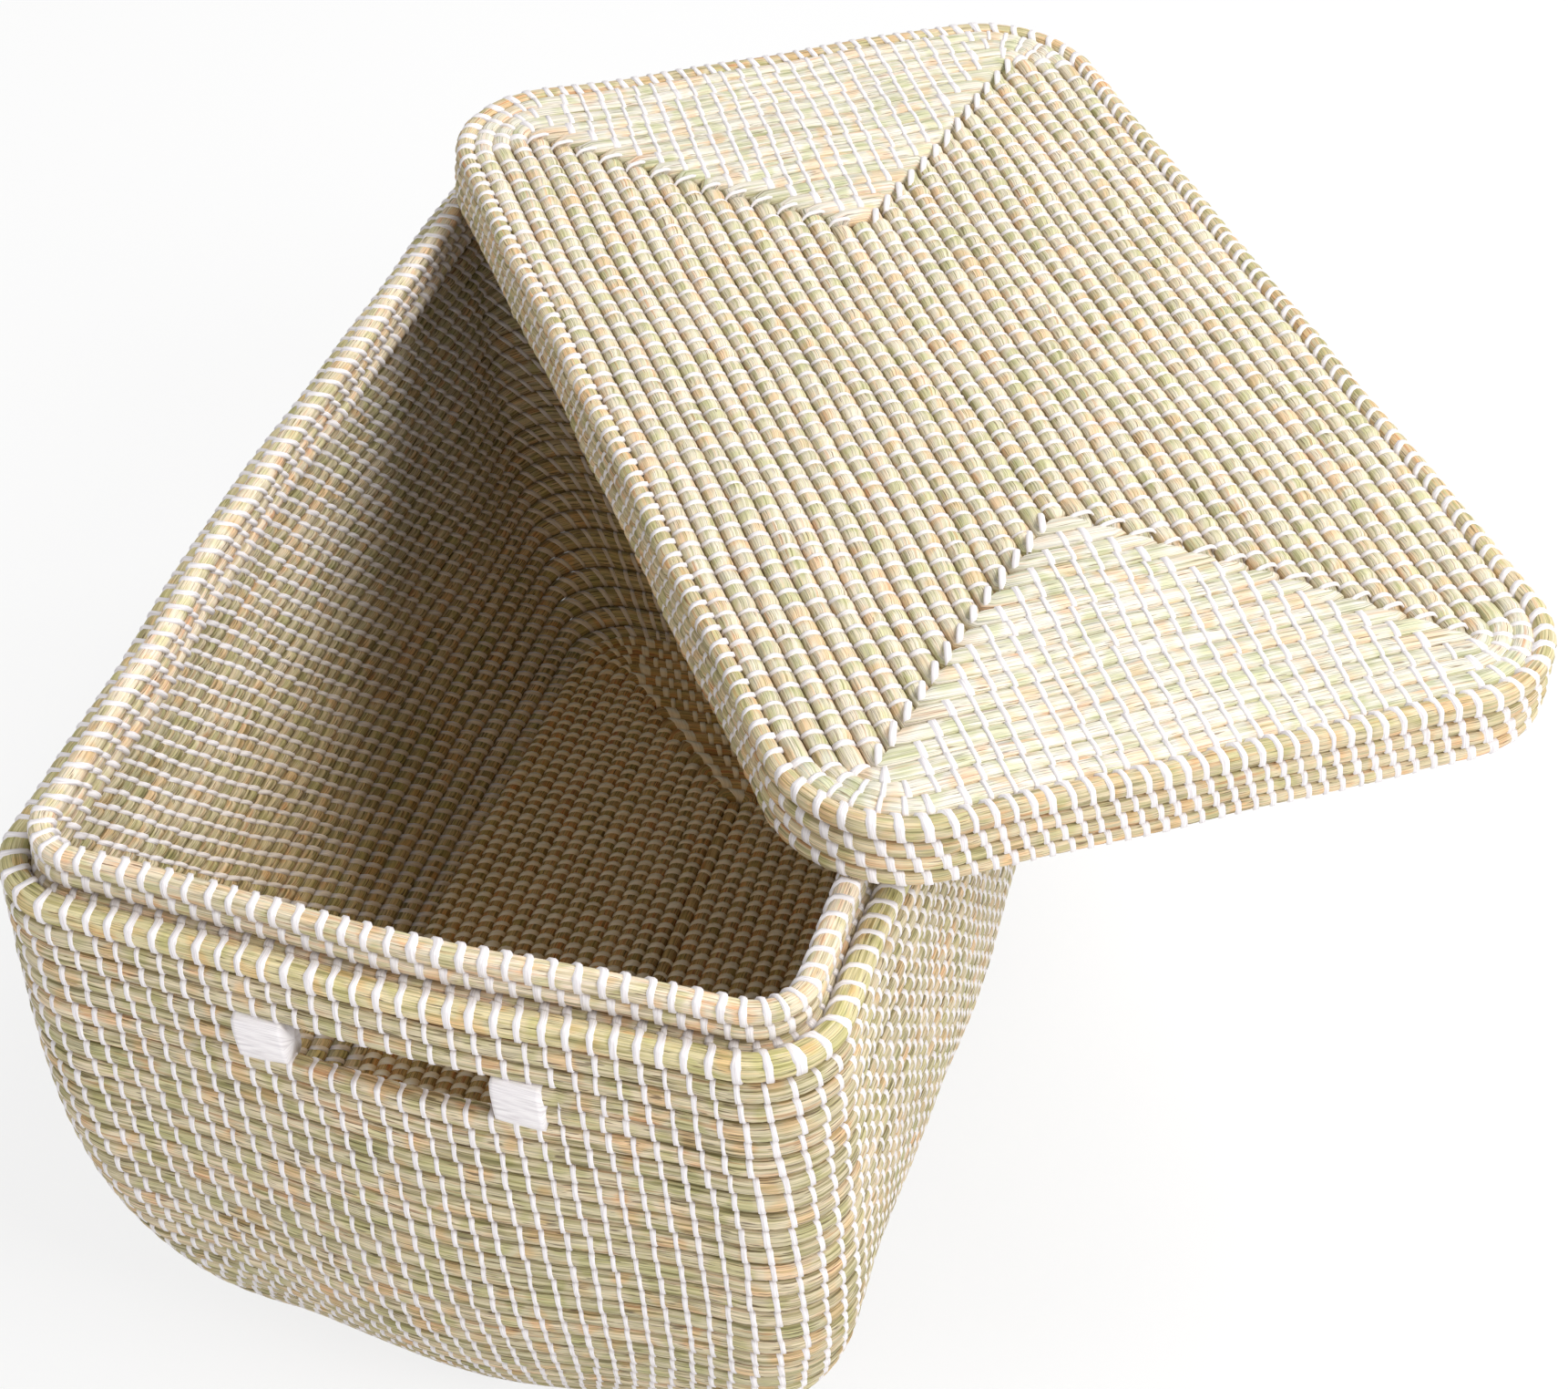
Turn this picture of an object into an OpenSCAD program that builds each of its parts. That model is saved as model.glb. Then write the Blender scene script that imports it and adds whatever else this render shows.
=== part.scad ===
// Lidded laundry basket of coiled grass bundles, sewn course on course.
// The basket stands on the XY plane with its length along Y. The origin is the middle of the
// floor's underside. The lid lies askew and level across the open rim, and lifts straight up.

/* [Basket] */
// Width over the shoulder coil
basket_w = 345; // [300:1:400]
// Length over the shoulder coil
basket_l = 579; // [500:1:680]
// Height of the top of the shoulder coil
shoulder_h = 245; // [215:1:270]
// Radius of the corners at the shoulder
corner_r = 40; // [32:1:60]
// How far the sides stand in at the floor
side_inset = 52; // [35:1:60]
// How far the ends stand in at the floor
end_inset = 52; // [35:1:60]
// How late the wall curves in on its way down
curl_power = 4.5; // [3.5:0.1:5]
// How far the shoulder stands off the middle of the floor along X
drift_x = -28; // [-30:1:30]
// How far the shoulder stands off the middle of the floor along Y
drift_y = 24; // [-30:1:30]

/* [Coils] */
// Number of wall courses below the shoulder coil
wall_courses = 27; // [25:1:28]
// Thickness of a wall bundle through the wall
wall_bundle = 10.4; // [10.2:0.1:12]
// Thickness of the shoulder coil
shoulder_bundle = 12; // [11:0.5:14]
// Height that the shoulder coil takes
shoulder_pitch = 10; // [9:0.5:11]
// Number of rim coils, the lowest of them level with the shoulder coil
rim_coils = 3; // [2:1:3]
// Thickness of a rim coil
rim_bundle = 10; // [9:0.5:12]
// Height that each rim coil adds
rim_pitch = 7.5; // [7:0.5:8.5]
// Number of loops in the floor, round its middle bar
floor_loops = 11; // [10:1:13]
// Floor loops with rounded corners, the others turn sharply
rounded_floor_loops = 3; // [2:1:4]
// Thickness of the floor
floor_t = 9; // [8:0.5:10]

/* [Hand slots] */
// Clear width of a hand slot
slot_w = 82; // [60:1:90]
// Width of the wrapped strip at each end of a slot
wrap_w = 22; // [15:1:25]
// Thickness of a wrapped end through the wall
wrap_t = 13; // [12:0.5:16]
// Wall courses between the shoulder coil and the slots
courses_over_slot = 2; // [2:1:6]
// Wall courses that a slot is high
slot_courses = 2; // [2:1:3]

/* [Lid] */
// How far the lid's edge stands in from the shoulder coil
lid_inset = 3; // [1:0.5:6]
// Number of loops in the lid's top, between its edge coil and its middle bar
lid_loops = 16; // [14:1:17]
// Lid loops with rounded corners, the others turn sharply
rounded_lid_loops = 3; // [2:1:4]
// Thickness of the lid's top
lid_t = 9.5; // [8.5:0.5:11]
// Thickness of the lid's edge coil
lid_edge_bundle = 10; // [9:0.5:11]
// Number of coils in the lid's skirt
skirt_coils = 3; // [2:1:3]
// Thickness of a skirt coil
skirt_bundle = 8.5; // [8:0.5:9.5]
// Height that each skirt coil adds
skirt_pitch = 7.4; // [7:0.1:8]
// Room between the rim and the lid's skirt when the lid is on
lid_clearance = 1.5; // [1:0.5:4]

/* [Where the lid lies] */
// Turn of the lid about the vertical
lid_turn = 35; // [30:1:40]
// Middle of the lid from the middle of the shoulder, along X
lid_x = 121; // [100:1:130]
// Middle of the lid from the middle of the shoulder, along Y
lid_y = 111; // [95:1:120]
// Gap between the rim and the lid that rests on it
rest_gap = 0.3; // [0.3:0.1:1]

/* [Hidden] */
$fn = 96;
floor_groups = 4;
// Radius of the hole that the tightest rounded corner turns about
corner_eye = 0.02;
wall_top = shoulder_h - shoulder_pitch;
rim_top = shoulder_h + (rim_coils - 1) * rim_pitch;
rim_out = lid_inset + skirt_bundle + lid_clearance;
rim_in = rim_out + rim_bundle;
slot_top_row = wall_courses - courses_over_slot;
slot_bottom_row = slot_top_row - slot_courses + 1;
slot_reach = slot_w / 2 + wrap_w;
lid_base = rim_top + rest_gap;
lid_h = skirt_coils * skirt_pitch + lid_t;
lid_a = basket_w / 2 - lid_inset;
lid_b = basket_l / 2 - lid_inset;
lid_pitch = snap((lid_a - lid_edge_bundle) / (lid_loops + 0.5));
lid_corner_r = lid_edge_bundle + rounded_lid_loops * lid_pitch + corner_eye;
grass = "#C9B988";
grass_shade = "#B7A873";
grass_pale = "#DDD2AC";
grass_warm = "#C0935A";
strip_white = "#F1EFEC";

// Sizes are kept to the hundredth, so that faces that meet lie exactly in one plane
function snap(v) = round(v * 100) / 100;
// A number as two figures, for the names of the nodes
function two(i) = i < 10 ? str("0", i) : str(i);
// How far down the wall a height is, from 0 at the shoulder to 1 at the floor
function depth(z) = 1 - z / shoulder_h;
// How far the wall's outer face stands in at a height
function stand_in(at_floor, z) = at_floor * pow(depth(z), curl_power);
// Lean of the wall from the vertical at a height
function lean(z) = atan(curl_power * side_inset * pow(depth(z), curl_power - 1) / shoulder_h);
// The height that a course takes: the more it leans, the less
course_share = [for (i = [1:wall_courses]) cos(lean((i - 0.5) * wall_top / wall_courses))];
share_sum = course_share * [for (s = course_share) 1];
// Heights of the seams between the courses, from the floor up
seams = [for (i = 0, z = 0; i <= wall_courses; z = z + course_share[min(i, wall_courses - 1)], i = i + 1)
    snap(wall_top * z / share_sum)];
function course_z(i) = (seams[i - 1] + seams[i]) / 2;
// Half sizes of a course's centre line, across the sides and along the ends
function course_a(i) = snap((basket_w - wall_bundle) / 2 - stand_in(side_inset, course_z(i)));
function course_b(i) = snap((basket_l - wall_bundle) / 2 - stand_in(end_inset, course_z(i)));
// Corner radius of a course's centre line, from the floor's corners to the shoulder's
function course_r(i) = snap(floor_corner_r + (corner_r - wall_bundle / 2 - floor_corner_r)
    * course_z(i) / shoulder_h);
// Place of the middle at a height: the floor and what is level with it don't drift
function drift(z) = [for (d = [drift_x, drift_y])
    snap(d * max(z - floor_t / 2, 0) / (shoulder_h - floor_t / 2))];
// Courses beside the hand slots are cut in line, so they share the drift of the slots' middle
function at_slot(i) = i >= slot_bottom_row && i <= slot_top_row;
slot_mid = (seams[slot_bottom_row - 1] + seams[slot_top_row]) / 2;
function course_place(i) = concat(drift(at_slot(i) ? slot_mid : course_z(i)), course_z(i));

floor_a = course_a(1) - wall_bundle / 2;
floor_b = course_b(1) - wall_bundle / 2;
floor_pitch = snap(floor_a / (floor_loops + 0.5));
floor_corner_r = rounded_floor_loops * floor_pitch + wall_bundle / 2 + corner_eye;

// A bundle's section: a circle pressed flat where it meets its neighbours
module bundle(d, w, h) {
    intersection() {
        circle(d = snap(d));
        square([w, h], center = true);
    }
}

// A bundle pressed flat on all four sides, over half of its width at the top and bottom
module pressed_bundle(w, h) {
    bundle(sqrt(h * h + w * w / 4), w, h);
}

// A closed loop of straight bundles and rounded corners. a and b are the half sizes of its
// centre line, r is its corner radius, and gap is what is left open in the middle of each end.
module loop(a, b, r, gap = 0) {
    cx = snap(a - r);
    cy = snap(b - r);
    for (turn = [0, 180])
        rotate([0, 0, turn]) {
            straight(cx + r, -cy, cy)
                children();
            translate([cx, cy, 0])
                corner(r) children();
            translate([-cx, cy, 0])
                rotate([0, 0, 90])
                    corner(r) children();
            rotate([0, 0, 90])
                if (gap > 0) {
                    straight(cy + r, -cx, -gap / 2) children();
                    straight(cy + r, gap / 2, cx) children();
                } else {
                    straight(cy + r, -cx, cx) children();
                }
        }
}

// A straight stretch of bundle at distance x, along Y
module straight(x, from, to) {
    translate([x, to, 0])
        rotate([90, 0, 0])
            linear_extrude(to - from)
                children();
}

// A quarter turn of bundle
module corner(r) {
    rotate_extrude(angle = 90)
        translate([r, 0])
            children();
}

// A loop of which the bundles turn sharply on the mitre lines
module mitred_loop(a, b, pitch, h) {
    for (turn = [0, 180])
        rotate([0, 0, turn]) {
            mitred_bar(a, b, pitch, h);
            rotate([0, 0, 90])
                mitred_bar(b, a, pitch, h);
        }
}

// One side of a mitred loop, its ends cut at 45 degrees
module mitred_bar(a, b, pitch, h) {
    outer = b + pitch / 2;
    inner = b - pitch / 2;
    intersection() {
        straight(a, -outer, outer)
            pressed_bundle(pitch, h);
        translate([0, 0, -h])
            linear_extrude(2 * h)
                polygon([[a - pitch / 2, -inner], [a + pitch / 2, -outer],
                         [a + pitch / 2, outer], [a - pitch / 2, inner]]);
    }
}

// One loop of a flat coil that fills the rectangle of half sizes a and b. Loops count from the
// outside in: the first ones are rounded, and the one after the last loop is the middle bar,
// which fills what the loops leave.
module flat_coil_loop(k, loops, rounded, a, b, pitch, h) {
    ka = a - (k - 0.5) * pitch;
    kb = b - (k - 0.5) * pitch;
    if (k > loops)
        straight(0, loops * pitch - b, b - loops * pitch)
            pressed_bundle(2 * (a - loops * pitch), h);
    else if (k > rounded)
        mitred_loop(ka, kb, pitch, h);
    else
        loop(ka, kb, (rounded - k + 0.5) * pitch + corner_eye)
            pressed_bundle(pitch, h);
}

// Wall courses, numbered from the floor up; the ones beside the hand slots are cut at the slots
module wall_course(i) {
    color(i % 2 == 0 ? grass : grass_shade)
        translate(course_place(i))
            loop(course_a(i), course_b(i), course_r(i), at_slot(i) ? 2 * slot_reach : 0)
                bundle(wall_bundle, wall_bundle, seams[i] - seams[i - 1]);
}

// A loop that follows the shoulder's outer face at an inset, its top at a height
module shoulder_loop(inset, top, h) {
    translate([drift_x, drift_y, top - h / 2])
        loop(basket_w / 2 - inset, basket_l / 2 - inset, corner_r - inset)
            children();
}

// The thick coil that the lid's skirt comes down on
module shoulder_coil() {
    color(grass_warm)
        shoulder_loop(shoulder_bundle / 2, shoulder_h, shoulder_pitch)
            bundle(shoulder_bundle, shoulder_bundle, shoulder_pitch);
}

// The rim coils, of which the lowest lies against the shoulder coil's inner side
module rim_coil(i) {
    outer = i == 1 ? shoulder_bundle : rim_out;
    h = i == 1 ? shoulder_pitch : rim_pitch;
    color(i == rim_coils ? grass_warm : grass)
        shoulder_loop((rim_in + outer) / 2, shoulder_h + (i - 1) * rim_pitch, h)
            pressed_bundle(rim_in - outer, h);
}

// The strip wound round both ends of a hand slot: side is 1 at the far end, -1 at the near one
module handle_wraps(side) {
    h = seams[slot_top_row] - seams[slot_bottom_row - 1];
    color(strip_white)
        translate(concat(drift(slot_mid), slot_mid))
            rotate([0, 0, 90 * side])
                for (hand = [0, 180])
                    mirror([0, hand / 180, 0])
                        straight(course_b(slot_top_row), slot_w / 2, slot_reach)
                            pressed_bundle(wrap_t, h);
}

module handle_wraps_near() {
    handle_wraps(-1);
}

module handle_wraps_far() {
    handle_wraps(1);
}

// The floor's loops in groups of neighbours, sewn together
module floor_group(i) {
    first = round((floor_loops + 1) * (i - 1) / floor_groups) + 1;
    last = round((floor_loops + 1) * i / floor_groups);
    color(i % 2 == 0 ? grass : grass_shade)
        translate([0, 0, floor_t / 2])
            for (k = [first:last])
                flat_coil_loop(k, floor_loops, rounded_floor_loops, floor_a, floor_b,
                               floor_pitch, floor_t);
}

// The lid's own frame, its underside at z = 0, moved to where the lid lies
module on_rim() {
    translate([drift_x + lid_x, drift_y + lid_y, lid_base])
        rotate([0, 0, lid_turn])
            children();
}

// A loop on the lid's outline whose outer face is the lid's
module lid_outline_loop(thickness) {
    loop(lid_a - thickness / 2, lid_b - thickness / 2, lid_corner_r - thickness / 2)
        children();
}

// The coil round the lid's edge
module lid_edge_coil() {
    color(grass)
        on_rim()
            translate([0, 0, lid_h - lid_t / 2])
                lid_outline_loop(lid_edge_bundle)
                    pressed_bundle(lid_edge_bundle, lid_t);
}

// The coils of the skirt, numbered from the edge coil down
module lid_skirt_coil(i) {
    color(grass_shade)
        on_rim()
            translate([0, 0, (skirt_coils - i + 0.5) * skirt_pitch])
                lid_outline_loop(skirt_bundle)
                    bundle(skirt_bundle, skirt_bundle, skirt_pitch);
}

// The loops of the lid's top, numbered from the edge coil inwards, and the bar in their middle
module lid_loop(k) {
    color(grass_pale)
        on_rim()
            translate([0, 0, lid_h - lid_t / 2])
                flat_coil_loop(k, lid_loops, rounded_lid_loops, lid_a - lid_edge_bundle,
                               lid_b - lid_edge_bundle, lid_pitch, lid_t);
}

module lid_ridge() {
    lid_loop(lid_loops + 1);
}

for (i = [1:wall_courses])
    wall_course(i);
shoulder_coil();
for (i = [1:rim_coils])
    rim_coil(i);
handle_wraps_near();
handle_wraps_far();
for (i = [1:floor_groups])
    floor_group(i);
lid_edge_coil();
for (i = [1:skirt_coils])
    lid_skirt_coil(i);
for (i = [1:lid_loops])
    lid_loop(i);
lid_ridge();
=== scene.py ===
import math

import bpy
import numpy as np
from mathutils import Matrix, Vector


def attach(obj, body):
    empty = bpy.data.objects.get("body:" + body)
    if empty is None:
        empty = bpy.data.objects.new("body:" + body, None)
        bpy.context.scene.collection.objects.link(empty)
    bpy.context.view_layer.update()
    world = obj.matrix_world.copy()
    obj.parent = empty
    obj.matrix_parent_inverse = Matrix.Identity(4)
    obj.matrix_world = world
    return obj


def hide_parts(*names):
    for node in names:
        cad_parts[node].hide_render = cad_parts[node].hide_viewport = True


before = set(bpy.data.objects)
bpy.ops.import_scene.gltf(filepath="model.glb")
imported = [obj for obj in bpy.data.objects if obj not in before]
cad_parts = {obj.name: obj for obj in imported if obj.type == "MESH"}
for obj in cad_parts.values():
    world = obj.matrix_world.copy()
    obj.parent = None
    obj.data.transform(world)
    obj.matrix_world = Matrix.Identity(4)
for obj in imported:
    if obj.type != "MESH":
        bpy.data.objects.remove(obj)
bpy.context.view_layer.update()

# ---- Camera -------------------------------------------------------------------------------
# It stands above the near end of the basket, a little to the right, and looks down along it
# with a medium long lens, tilted slightly about its line of sight.
eye = Vector((0.3127, -1.0000, 1.0802))
heading, dip, roll = -0.2526, 0.7104, 0.0340
forward = Vector((math.sin(heading) * math.cos(dip), math.cos(heading) * math.cos(dip), -math.sin(dip)))
level = forward.cross(Vector((0, 0, 1))).normalized()
upright = level.cross(forward)
across = math.cos(roll) * level + math.sin(roll) * upright
upward = math.cos(roll) * upright - math.sin(roll) * level
lens = bpy.data.cameras.new("camera")
lens.sensor_width = 36.0
lens.lens = 70.71981
lens.clip_start = 0.05
camera = bpy.data.objects.new("camera", lens)
camera.matrix_world = Matrix((
    (across.x, upward.x, -forward.x, eye.x),
    (across.y, upward.y, -forward.y, eye.y),
    (across.z, upward.z, -forward.z, eye.z),
    (0, 0, 0, 1)))
bpy.context.scene.collection.objects.link(camera)
bpy.context.scene.camera = camera

# ---- Wall courses -------------------------------------------------------------------------
# Bundles of dry grass laid round the basket, one course on the other. A white strip is wound
# round each bundle and caught in the stitch below, so that it pinches the grass once a cell
# and runs down the wall as a chain.
basket_a, basket_b = 0.345 / 2, 0.579 / 2
shoulder_h = 0.245
wall_top = 0.235
wall_courses = 27
wall_bundle = 0.0104
course_lap = 1.05
# The wall draws in by foot_inset down to the foot, as the power curl of the depth, while its
# middle drifts from the floor's height to the shoulder. Sides and ends bulge by the bows, and
# the corners are rounded from foot_r to top_r.
foot_inset, curl = 0.052, 4.5
floor_z = 0.0045
drift_x, drift_y = -0.028, 0.024
side_bow, foot_bow, shoulder_bow = 0.0054, 0.0110, 0.0063
foot_r, top_r = 0.0347, 0.0348
# Sewing cells on a long side, on an end and in a corner, and the step from course to course.
wall_cells = (53, 29, 6)
row_shift = 0.07
strip_w = 0.0033
# The hand slots cut two courses. Half the opening, and half the stretch with its wraps; the grass
# ends slot_hidden deep inside a wrap, and the stitches keep slot_clear away from it.
slot_rows = (24, 25)
slot_half, slot_reach = 0.041, 0.063
slot_hidden, slot_clear = 0.007, 0.001
# Points round a bundle or a turn of strip, and the painted shade of skin that lies open; it rises to 1 as
# painted shade in seams and falls to 0 as painted sheen.
ring = 12
open_shade = 0.2
rng = np.random.default_rng(7)


def on_loop(s, coil):
    """Points of a coil's centre line at the distances s, anticlockwise from the middle of its +X side:
    a straight side, a quarter circle, a straight end, a quarter circle and a straight side, and the
    same again turned by half a turn. Sides and ends bulge as a squared cosine."""
    a, b, r = coil["a"], coil["b"], coil["r"]
    side, arc, end = b - r, math.pi / 2 * r, 2 * (a - r)
    half = 2 * side + 2 * arc + end
    s = np.mod(s, 2 * half)
    turned = np.where(s >= half, -1.0, 1.0)
    s = np.mod(s, half)
    marks = np.cumsum([side, arc, end, arc])
    t0, t2 = s / side, (s - marks[1]) / end
    t4 = 1 - (s - marks[3]) / side
    t1, t3 = (s - marks[0]) / r, (s - marks[2]) / r + math.pi / 2
    bow_a, bow_b = coil["bow"]
    part = [s < marks[0], s < marks[1], s < marks[2], s < marks[3]]
    x = np.select(part, [a + bow_a * np.cos(t0 * math.pi / 2) ** 2,
                         a - r + r * np.cos(t1),
                         (a - r) * (1 - 2 * t2),
                         r - a + r * np.cos(t3)],
                  -a - bow_a * np.cos(t4 * math.pi / 2) ** 2)
    y = np.select(part, [side * t0,
                         side + r * np.sin(t1),
                         b + bow_b * np.cos((0.5 - t2) * math.pi) ** 2,
                         side + r * np.sin(t3)],
                  side * t4)
    return x * turned, y * turned


def loop_length(coil):
    """Twice the sides and ends between the corners, and one full circle."""
    return 4 * (coil["a"] + coil["b"] - 2 * coil["r"]) + 2 * math.pi * coil["r"]


def cell_count(coil):
    """Sewing cells of a coil; its places hold the start of each and the end of the last."""
    return len(coil["places"]) - 1


def winding(coil, v):
    """How many cells along the coil a stitch has moved at the angle v round the section. It crosses one
    side with a slight slant and comes back over the other, round the angle face, slanted so far that it
    meets the start of the next stitch. A coil without helix has closed bands instead."""
    slant = coil["slant"]
    u = np.sin(v - coil["face"] + math.pi)
    crossing_back = coil["helix"] & (v < coil["face"] + math.pi / 2)
    return np.where(crossing_back, (1 + (1 - slant) * u) / 2, -slant / 2 * u)


def past_gap(coil, c):
    """How many cells a place lies beyond the nearest end of a cut in the coil; negative inside it."""
    count = cell_count(coil)
    middles, half = coil["gaps"]
    away = [np.abs((c - middle + count / 2) % count - count / 2) for middle in middles]
    return np.minimum(*away) - half


def drawn_in(away, over):
    """How much of its section a bundle keeps so many cells away from its cut end: almost nothing at the
    end and, along a square root, all of it past over cells."""
    return np.clip(away / over, 0, 1) ** 0.5 * 0.98 + 0.02


def squarer(wave, power):
    """A sine or cosine with its sign, made squarer by a power below 1."""
    return np.sign(wave) * np.abs(wave) ** power


def rotated(x, y, angle):
    """A place turned anticlockwise about the origin."""
    return np.cos(angle) * x - np.sin(angle) * y, np.sin(angle) * x + np.cos(angle) * y


def skin(coil, c, v, free, plump, rise, square):
    """Points on a coil's skin. c counts the sewing cells along it and v is the angle round its section,
    90 degrees at the top, 180 inside, 270 below and 360 outside. The section is a rounded square, and
    rounder on the long sides of a domed coil and on the inside of the wall. free is 0 where the strip
    pinches the bundle and 1 midway, plump makes one cell thicker than another and rise lifts the point
    off the skin. Each pair of values is for the long sides and for the ends, and shares between them
    follow the squared normal. The section leans as the wall does, and a mitred coil has square elbows."""
    count = cell_count(coil)
    c = c + winding(coil, v)
    turns = np.floor(c / count)
    s = np.interp(c - turns * count, np.arange(count + 1), coil["places"]) + turns * loop_length(coil)
    near_by = 0.0008    # the loop's direction is taken from two places this far before and after
    x, y = on_loop(s, coil)
    x0, y0 = on_loop(s - near_by, coil)
    x1, y1 = on_loop(s + near_by, coil)
    step = np.hypot(x1 - x0, y1 - y0)
    nx, ny = (y1 - y0) / step, (x0 - x1) / step
    share = nx ** 2
    outward = np.cos(v)
    pinch = coil["pinch"][1] + (coil["pinch"][0] - coil["pinch"][1]) * share
    pinch = pinch * (1 - coil["flat"] * np.maximum(outward, 0))
    domed = np.maximum(share * coil["domed"], coil["round_inside"] * np.maximum(-outward, 0))
    loss = pinch * (1 - free ** (0.5 + 0.4 * domed) * (1 + 0.15 * plump))
    power = square + (1.0 - square) * domed
    reach = (1 - loss * coil["nip"]) * coil["w"] / 2 + rise
    out = np.abs(outward) ** (power + 0.3 * share * coil["domed"]) * reach
    elbow = (coil["r"] + out) / np.maximum(np.abs(nx), np.abs(ny)) ** 0.85 - coil["r"]
    out = np.where(coil["mitred"] & (outward > 0), elbow, out * np.sign(outward))
    inset, lean_x, lean_y = coil["slope"]
    lean = np.arctan(inset * (np.abs(nx) + np.abs(ny)) + lean_x * nx + lean_y * ny)
    tall = (1 - loss * coil["sink"]) * coil["h"] / 2 / np.cos(lean) + rise
    up = squarer(np.sin(v), power) * tall
    if "gaps" in coil:
        taper = drawn_in(past_gap(coil, c), 0.35)
        out, up = out * taper, up * taper
    level_out, up = out * np.cos(lean) + up * np.sin(lean), up * np.cos(lean) - out * np.sin(lean)
    x, y = rotated(x + nx * level_out, y + ny * level_out, coil["turn"])
    x, y, z = coil["middle"][0] + x, coil["middle"][1] + y, np.maximum(coil["z"] + up, 0.0)
    return hand_made(np.stack([x, y, z], axis=-1))


def hand_made(p):
    """Slow sine waves, a millimetre high, that move neighbouring bundles together. They die out at
    the floor, which lies flat."""
    x, y, z = p[..., 0], p[..., 1], p[..., 2]
    lift = np.clip(z / 0.06, 0, 1)
    dx = 0.0009 * np.sin(24 * y + 17 * z + 1.3) + 0.0005 * np.sin(61 * y - 40 * z)
    dy = 0.0009 * np.sin(27 * x - 19 * z + 0.4)
    dz = 0.0009 * np.sin(19 * x + 0.8) * np.sin(15 * y + 2.1) + 0.0004 * np.sin(47 * x + 53 * y)
    return np.stack([x + lift * dx, y + lift * dy, z + lift * dz], axis=-1)


def grid_faces(rows, cols, closed_rows, closed_cols, back=0):
    """Quads of a grid of rows by cols points, as corner indices, with its last row and column joined to
    the first where closed. The last column meets the first one back rows earlier, as on a screw. With
    them come the row and column of each corner, which count on over the joins."""
    i = np.arange(rows if closed_rows else rows - 1)
    j = np.arange(cols if closed_cols else cols - 1)
    i, j = np.meshgrid(i, j, indexing="ij")

    def corner(row, col):
        return np.where(col == cols, row - back, row) % rows * cols + col % cols

    square = [(i, j), (i + 1, j), (i + 1, j + 1), (i, j + 1)]
    corners = np.stack([corner(row, col) for row, col in square], axis=-1)
    steps = np.stack([np.stack(place, -1) for place in square], axis=-2)
    return corners.reshape(-1, 4), steps.reshape(-1, 4, 2)


def kept(points, faces, others, keep):
    """The faces marked in keep with the points that they use, and the other arrays of those faces."""
    used, faces = np.unique(faces[keep], return_inverse=True)
    return points[used], faces.reshape(-1, 4), others[keep]


def is_on_side(coil, s):
    """Whether the distances s along a coil lie on one of its long sides, not on an end or a corner."""
    half = loop_length(coil) / 2
    s = s % half
    return np.minimum(s, half - s) < coil["b"] - coil["r"]


def shade_at(coil, c, v):
    """How dark a coil's skin is painted: open_shade on its faces and 1, as painted shade, where it lies
    against the next coil, at the sixth power of the sine from its face. A coil with an open top has no
    seam there, and a coil marked for painted sheen is paler, down to 0, away from its long sides: a
    painted highlight on its ends."""
    # Painted shade where the coil lies against its neighbour.
    seam = np.abs(np.sin(v - coil["face"])) ** 6
    seam = seam * np.where(coil["open_top"] & (np.sin(v) > 0.1), 0.0, 1.0)
    s = np.interp(c % cell_count(coil), np.arange(cell_count(coil) + 1), coil["places"])
    # Painted sheen: a painted highlight on the flat ends of marked coils.
    pale = coil["painted_sheen"] & ~is_on_side(coil, s)
    return np.where(pale, 0.30 * seam, open_shade + (1 - open_shade) * seam)


def bundle_mesh(coil):
    """One coil of grass: rings of points at the coil's own shares of each sewing cell, drawn together at
    both ends of a cut. A coil with helix is ringed like a screw, so that its grooves follow the
    stitches. The texture's coordinates are metres along and round the bundle, and the painted shade and
    sheen."""
    count = cell_count(coil)
    c = (np.arange(count)[:, None] + np.array(coil["rings"])).ravel()
    start, turn = coil["face"] - math.pi / 2, 2 * math.pi / ring
    cc, vv = np.meshgrid(c, start + np.arange(ring) * turn, indexing="ij")
    plump = coil["plump"][np.floor(cc).astype(int) % count]
    p = skin(coil, cc, vv, np.abs(np.sin(math.pi * cc)), plump, 0.0, coil["square"])
    faces, steps = grid_faces(len(c), ring, True, True, len(coil["rings"]) if coil["helix"] else 0)
    v = start + steps[..., 1] * turn
    along = np.append(c, c[0] + count)[steps[..., 0]] + winding(coil, v)
    girth = 3.1 * (coil["w"] + coil["h"]) / 2
    uv = np.stack([along * loop_length(coil) / count + coil["mark"][0],
                   steps[..., 1] / ring * girth + coil["mark"][1],
                   shade_at(coil, along, v)], axis=-1)
    if "gaps" in coil:
        return kept(p.reshape(-1, 3), faces, uv, past_gap(coil, along).max(axis=1) > 0)
    return p.reshape(-1, 3), faces, uv


# Points across the strip, as shares of half its width, how deep its edges are sunk, and how much
# texture a turn takes up.
strip_points = np.array([1.0, 0.62, -0.62, -1.0])
strip_sunk = 0.0007
strip_turn = 0.032


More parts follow.
